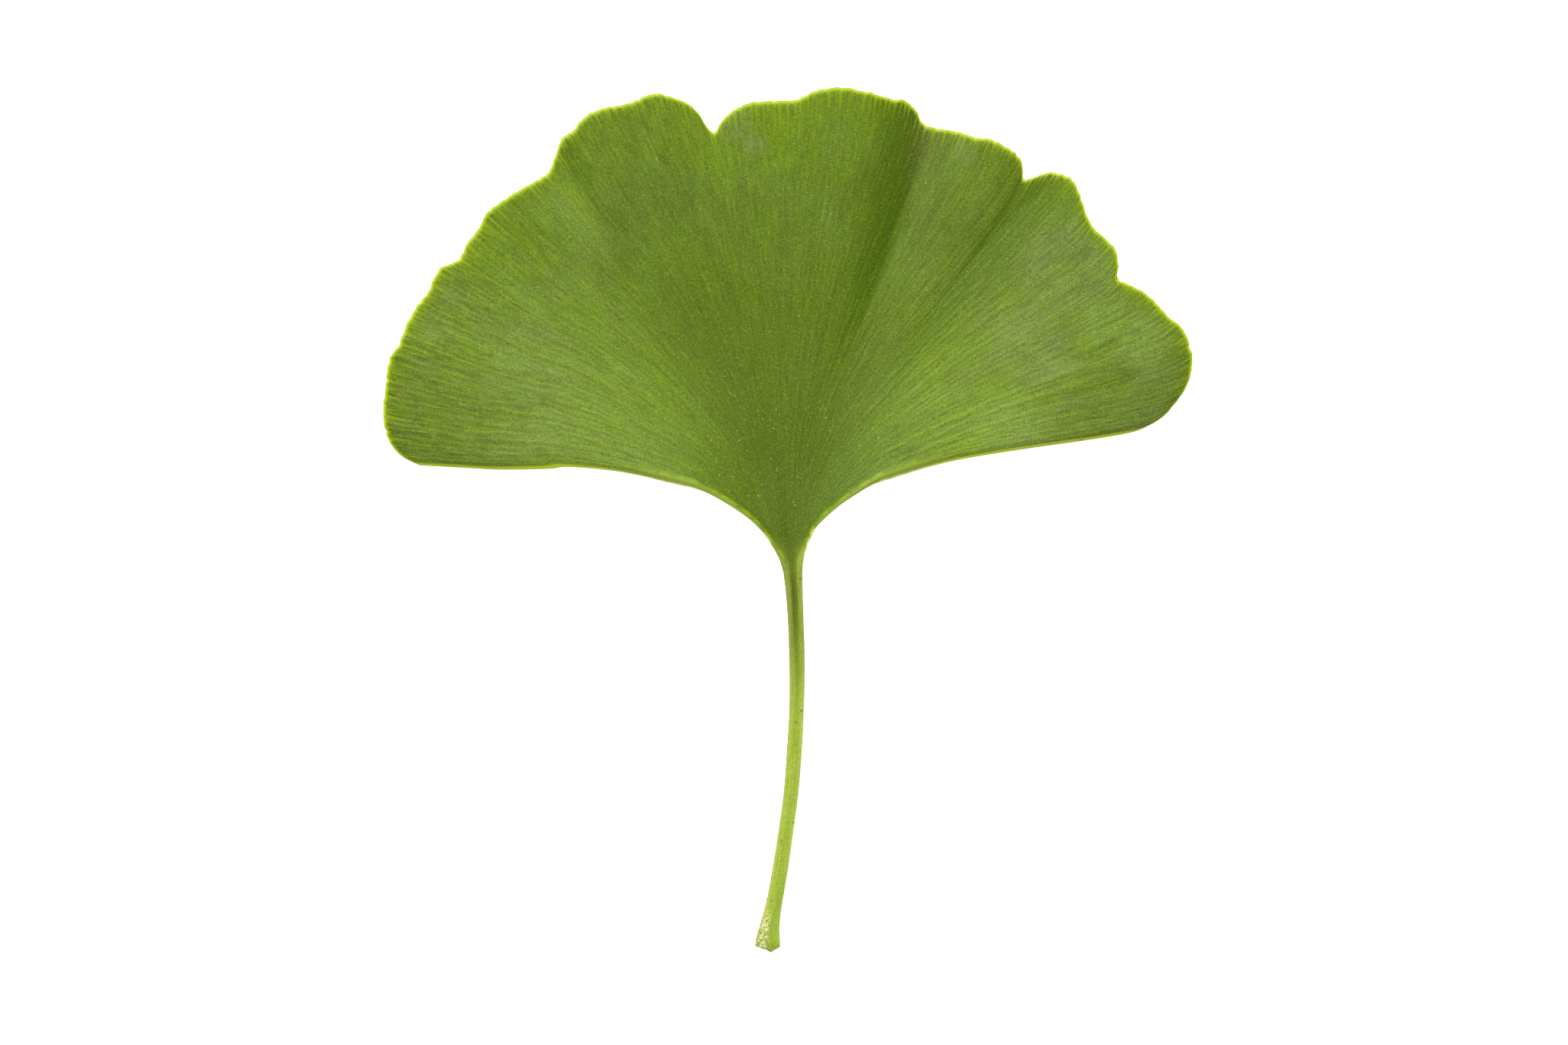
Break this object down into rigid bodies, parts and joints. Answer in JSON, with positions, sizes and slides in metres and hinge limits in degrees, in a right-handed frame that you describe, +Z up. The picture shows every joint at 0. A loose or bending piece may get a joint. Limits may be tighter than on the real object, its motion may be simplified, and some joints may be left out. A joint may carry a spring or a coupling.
{
  "type": "ginkgo leaf",
  "caption": "Fan-shaped ginkgo leaf with a lobed, gently folded blade and its curved stalk, lying face up.",
  "frame": {"origin": "middle of the leaf's box, on the surface that it lies on", "axes": "+Y from the foot of the stalk towards the crown of the blade, +Z up out of the upper face"},
  "size_m": [0.1004, 0.107, 0.0045],
  "materials": {
    "leaf": "satin"
  },
  "bodies": {
    "root": {"ginkgo_leaf": "leaf"}
  },
  "joints": []
}
